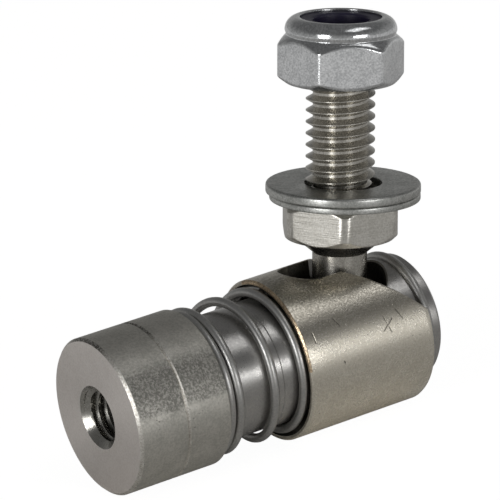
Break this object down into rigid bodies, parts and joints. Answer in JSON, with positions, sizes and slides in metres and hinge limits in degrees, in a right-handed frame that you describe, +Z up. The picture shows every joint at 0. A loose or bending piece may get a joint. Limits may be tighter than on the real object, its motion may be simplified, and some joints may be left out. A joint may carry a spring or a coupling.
{
  "type": "angle ball joint",
  "caption": "Quick-release angle ball joint: a threaded ball stud swivels in a tapped barrel and is held by a sprung locking sleeve.",
  "frame": {"origin": "centre of the ball", "axes": "+X along the barrel from its tapped end to its plain end, +Z up on the slotted side of the sleeve; the stud leans 8 degrees from +Z toward +X"},
  "size_m": [0.0331, 0.0142, 0.0353],
  "materials": {
    "barrel_steel": "turned stainless steel, dull and faintly pitted, with a fine scribed groove",
    "sleeve_steel": "smooth warm-toned steel sleeve with fine scratches and small pits",
    "spring_steel": "drawn grey spring wire",
    "stud_steel": "turned and milled stainless steel, bright neck and milling lines on the flats",
    "washer_steel": "stamped plain washer, satin",
    "nut_steel": "bright cold-formed stainless steel with speckled flats",
    "insert_nylon": "dark violet-blue nylon"
  },
  "bodies": {
    "barrel": {"barrel_body": "barrel_steel", "retaining_ring": "spring_steel", "sleeve_spring": "spring_steel"},
    "sleeve": {"locking_sleeve": "sleeve_steel"},
    "washers": {"lower_washer": "washer_steel", "upper_washer": "washer_steel"},
    "stud": {"ball_stud": "stud_steel"},
    "nut_carrier": {"nylon_insert": "insert_nylon"},
    "nut": {"lock_nut": "nut_steel"}
  },
  "joints": [
    {"name": "sleeve_slide", "type": "slide", "parent": "barrel", "child": "sleeve", "axis": [-1, 0, 0], "range_m": [0, 0.0042], "stiffness_N_per_m": 890, "springref_m": -0.003, "deforming": ["sleeve_spring"]},
    {"name": "stud_tilt", "type": "hinge", "parent": "barrel", "child": "washers", "pos_m": [0, 0, 0], "axis": [0, 1, 0], "range_deg": [-20, 10]},
    {"name": "stud_spin", "type": "hinge", "parent": "washers", "child": "stud", "pos_m": [0, 0, 0], "axis": [0.1392, 0, 0.9903], "continuous": true},
    {"name": "nut_travel", "type": "slide", "parent": "stud", "child": "nut_carrier", "axis": [0.1392, 0, 0.9903], "range_m": [-0.0086, 0], "deforming": ["nylon_insert"]},
    {"name": "nut_screw", "type": "hinge", "parent": "nut_carrier", "child": "nut", "pos_m": [0, 0, 0], "axis": [0.1392, 0, 0.9903], "range_deg": [-3097, 0]}
  ],
  "couplings": [
    {"joint": "nut_screw", "follows": "nut_travel", "rad_per_m": 6283.2}
  ]
}
